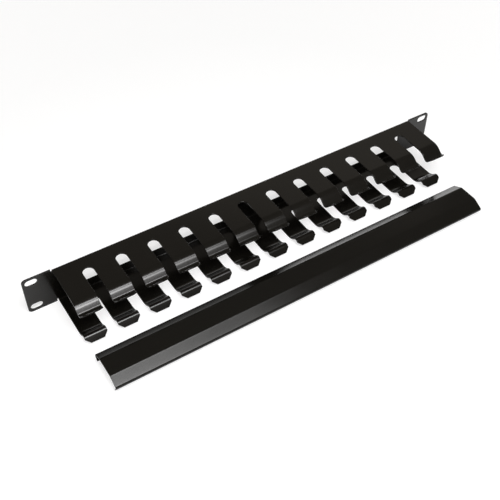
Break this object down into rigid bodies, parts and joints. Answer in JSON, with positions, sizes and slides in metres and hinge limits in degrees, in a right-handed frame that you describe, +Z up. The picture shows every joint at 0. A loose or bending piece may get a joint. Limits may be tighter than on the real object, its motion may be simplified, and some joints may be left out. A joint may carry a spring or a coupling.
{
  "type": "horizontal cable manager",
  "caption": "Folded steel rack panel with combs of hooked fingers above and below, long rear openings, slotted ears and a clip-on bevelled cover lying in front.",
  "frame": {"origin": "middle of the four rack slots, on the rear face of the rack ears", "axes": "+X to the right seen from the front, -Y out of the rack along the fingers, +Z up"},
  "size_m": [0.4826, 0.1258, 0.0436],
  "materials": {
    "manager_coat": "black powder coat with a fine grain, satin",
    "cover_coat": "black powder coat with a fine grain, satin"
  },
  "bodies": {
    "root": {"manager_body": "manager_coat", "snap_cover": "cover_coat"}
  },
  "joints": []
}
